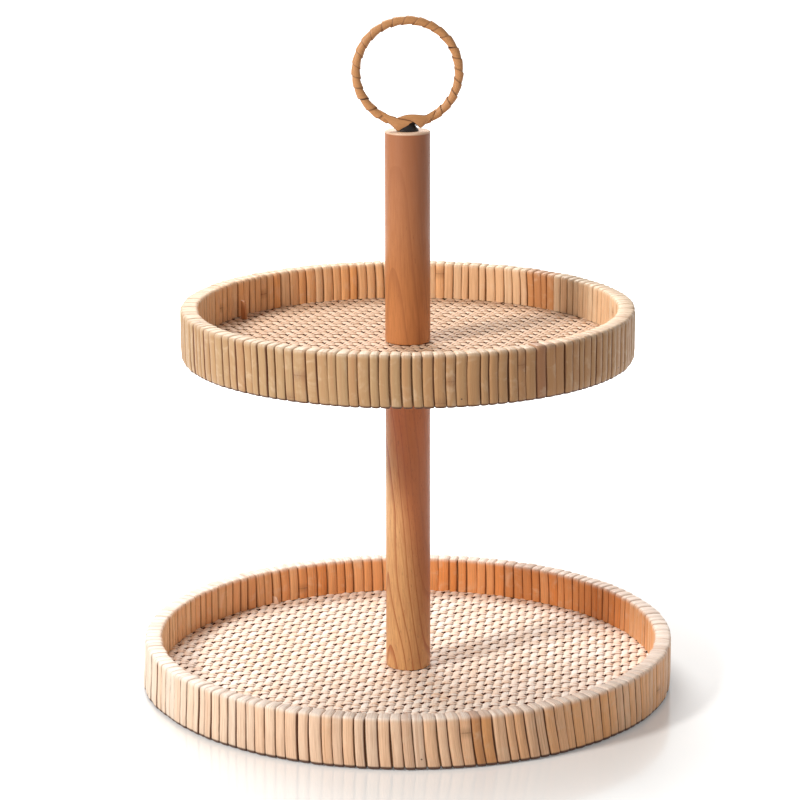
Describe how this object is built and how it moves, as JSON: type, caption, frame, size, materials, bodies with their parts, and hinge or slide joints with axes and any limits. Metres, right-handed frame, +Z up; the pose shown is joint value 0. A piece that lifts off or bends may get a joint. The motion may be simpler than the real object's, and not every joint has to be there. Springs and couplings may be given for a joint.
{
  "type": "two-tier tray",
  "caption": "Tiered serving tray: round woven trays with cane-wrapped rims, one above the other on a turned wooden post, with a wrapped ring handle on top.",
  "frame": {"origin": "on the surface it stands on, under the axis of the posts", "axes": "+Z up along the posts; the ring handle lies in the X-Z plane, so the front in the picture is -Y"},
  "size_m": [0.4166, 0.4166, 0.5272],
  "materials": {
    "cane_strip": "half-round cane with its natural skin, satin",
    "cane_peel": "flat cane peel, satin",
    "woven_rattan": "woven split rattan, satin",
    "bent_wood": "bent wood, bare",
    "plywood": "plywood, bare",
    "post_wood": "turned wood, clear satin",
    "black_steel": "black paint, satin",
    "zinc_steel": "zinc plated",
    "brass": "plain"
  },
  "bodies": {
    "root": {"lower_base_board": "plywood", "lower_woven_floor": "woven_rattan", "lower_rim_hoop": "bent_wood", "lower_rim_wrap": "cane_strip", "lower_hoop_brad_1": "zinc_steel", "lower_hoop_brad_2": "zinc_steel", "lower_hoop_brad_3": "zinc_steel", "lower_hoop_brad_4": "zinc_steel", "lower_hoop_brad_5": "zinc_steel", "lower_hoop_brad_6": "zinc_steel", "upper_base_board": "plywood", "upper_woven_floor": "woven_rattan", "upper_rim_hoop": "bent_wood", "upper_rim_wrap": "cane_strip", "upper_hoop_brad_1": "zinc_steel", "upper_hoop_brad_2": "zinc_steel", "upper_hoop_brad_3": "zinc_steel", "upper_hoop_brad_4": "zinc_steel", "upper_hoop_brad_5": "zinc_steel", "upper_hoop_brad_6": "zinc_steel", "lower_post": "post_wood", "upper_post": "post_wood", "lower_post_bottom_insert": "brass", "lower_post_top_insert": "brass", "upper_post_bottom_insert": "brass", "upper_post_top_insert": "brass", "base_washer": "zinc_steel", "base_bolt": "zinc_steel", "middle_stud": "zinc_steel", "handle_ring": "black_steel", "handle_foot": "black_steel", "handle_wrap": "cane_peel"}
  },
  "joints": []
}
